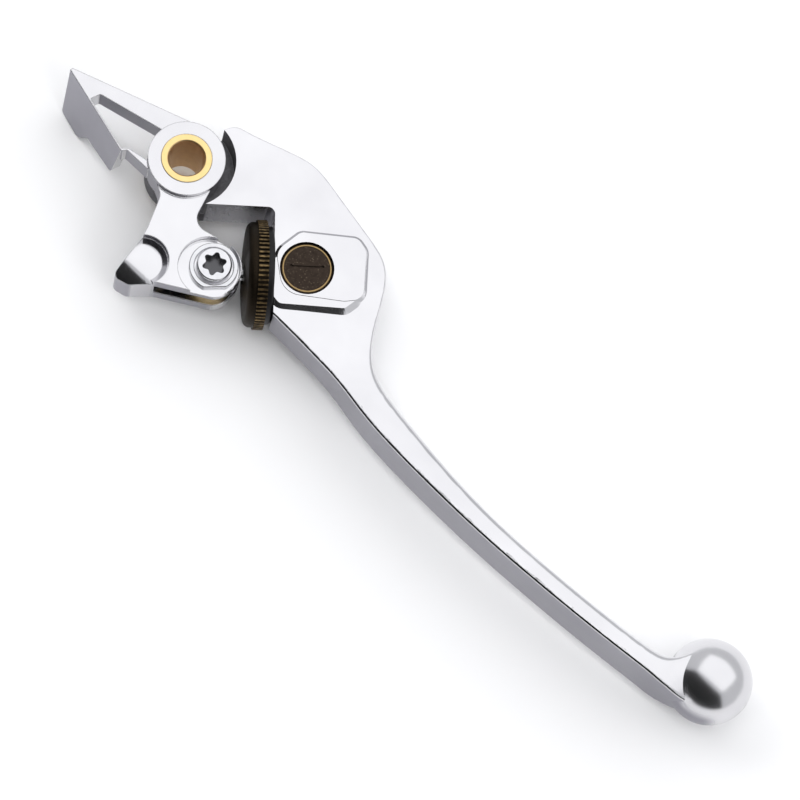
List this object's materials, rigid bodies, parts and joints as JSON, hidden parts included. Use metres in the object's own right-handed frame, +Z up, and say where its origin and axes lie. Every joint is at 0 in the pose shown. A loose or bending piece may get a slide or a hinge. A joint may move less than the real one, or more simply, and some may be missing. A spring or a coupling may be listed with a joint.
{
  "type": "motorcycle clutch lever",
  "caption": "Hinged motorcycle hand lever with a ball end, a pivoting knuckle with a switch hook, and a knurled wheel that sets its reach.",
  "frame": {"origin": "on the pivot bolt's axis, at half the blade's thickness", "axes": "+X from the pivot to the ball end, +Y away from the handlebar grip, +Z up along the pivot bolt"},
  "size_m": [0.2013, 0.0488, 0.024],
  "materials": {
    "polished_alloy": "polished casting",
    "brass": "machined",
    "aged_bronze": "dark chemical bronze with worn crests",
    "bright_steel": "zinc plated",
    "black_steel": "black oxide"
  },
  "bodies": {
    "pivot_sleeve": {"upper_pivot_bush": "brass", "lower_pivot_bush": "brass"},
    "knuckle_arm": {"knuckle": "polished_alloy", "knuckle_pin": "bright_steel", "pin_washer": "bright_steel", "pin_clip": "bright_steel", "pivot_shim": "brass"},
    "trunnion": {"stud_trunnion": "brass"},
    "adjuster": {"adjuster_wheel": "aged_bronze", "adjuster_stud": "bright_steel", "index_plate": "black_steel"},
    "blade": {"lever_blade": "polished_alloy"},
    "nut": {"barrel_nut": "aged_bronze"}
  },
  "joints": [
    {"name": "lever_pull", "type": "hinge", "parent": "pivot_sleeve", "child": "knuckle_arm", "pos_m": [0, 0, 0], "axis": [0, 0, -1], "range_deg": [0, 22]},
    {"name": "wheel_turn", "type": "hinge", "parent": "trunnion", "child": "adjuster", "pos_m": [0.0212, -0.0126, 0], "axis": [-0.7219, -0.692, 0], "range_deg": [0, 900]},
    {"name": "stud_swing", "type": "hinge", "parent": "knuckle_arm", "child": "trunnion", "pos_m": [0.0212, -0.0126, 0], "axis": [0, 0, 1], "range_deg": [0, 7.39]},
    {"name": "reach_adjust", "type": "hinge", "parent": "knuckle_arm", "child": "blade", "pos_m": [0, 0, 0], "axis": [0, 0, 1], "range_deg": [0, 5.92]},
    {"name": "nut_swivel", "type": "hinge", "parent": "blade", "child": "nut", "pos_m": [0.0357, 0.0013, 0], "axis": [0, 0, 1], "range_deg": [0, 1.53]}
  ],
  "couplings": [
    {"joint": "stud_swing", "follows": "wheel_turn", "ratio": 0.00816},
    {"joint": "reach_adjust", "follows": "wheel_turn", "ratio": 0.00652},
    {"joint": "nut_swivel", "follows": "wheel_turn", "ratio": 0.00164}
  ]
}
